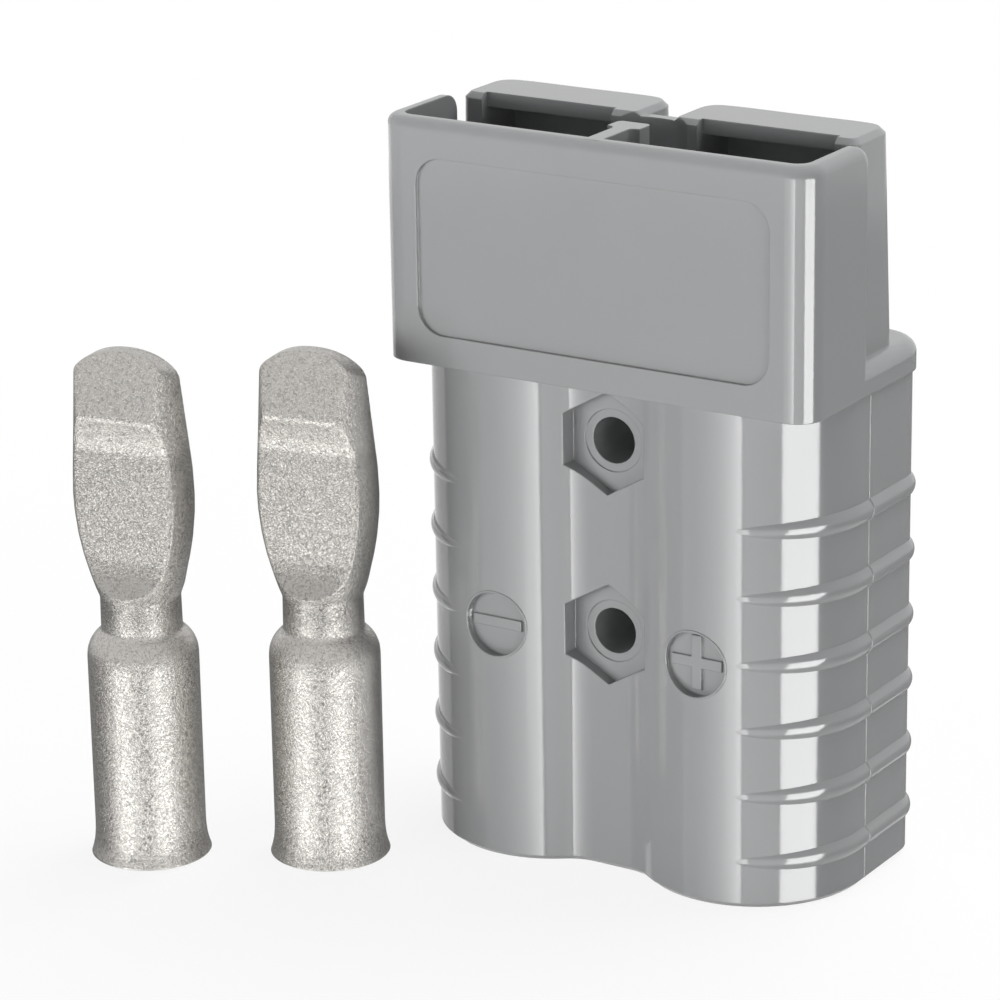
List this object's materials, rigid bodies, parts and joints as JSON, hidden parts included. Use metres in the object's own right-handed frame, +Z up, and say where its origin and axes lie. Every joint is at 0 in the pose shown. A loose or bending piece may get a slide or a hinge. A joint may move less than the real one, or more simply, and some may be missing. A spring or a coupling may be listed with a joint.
{
  "type": "electrical connector",
  "caption": "Genderless two-pole battery power connector: hooded plastic housing with side finger ribs and nut recesses, captive leaf springs and loose crimp contacts.",
  "frame": {"origin": "middle of the cable end, on the web between the two cable bores", "axes": "+X across the poles towards the plus side, -Y towards the label side, +Z up towards the mating end"},
  "size_m": [0.0777, 0.0505, 0.08],
  "materials": {
    "housing": "semi-gloss moulded",
    "contact": "satin silver plate",
    "spring": "bright rolled"
  },
  "bodies": {
    "root": {"housing": "housing", "contact_negative": "contact", "contact_positive": "contact", "spring_negative": "spring", "spring_positive": "spring"}
  },
  "joints": []
}
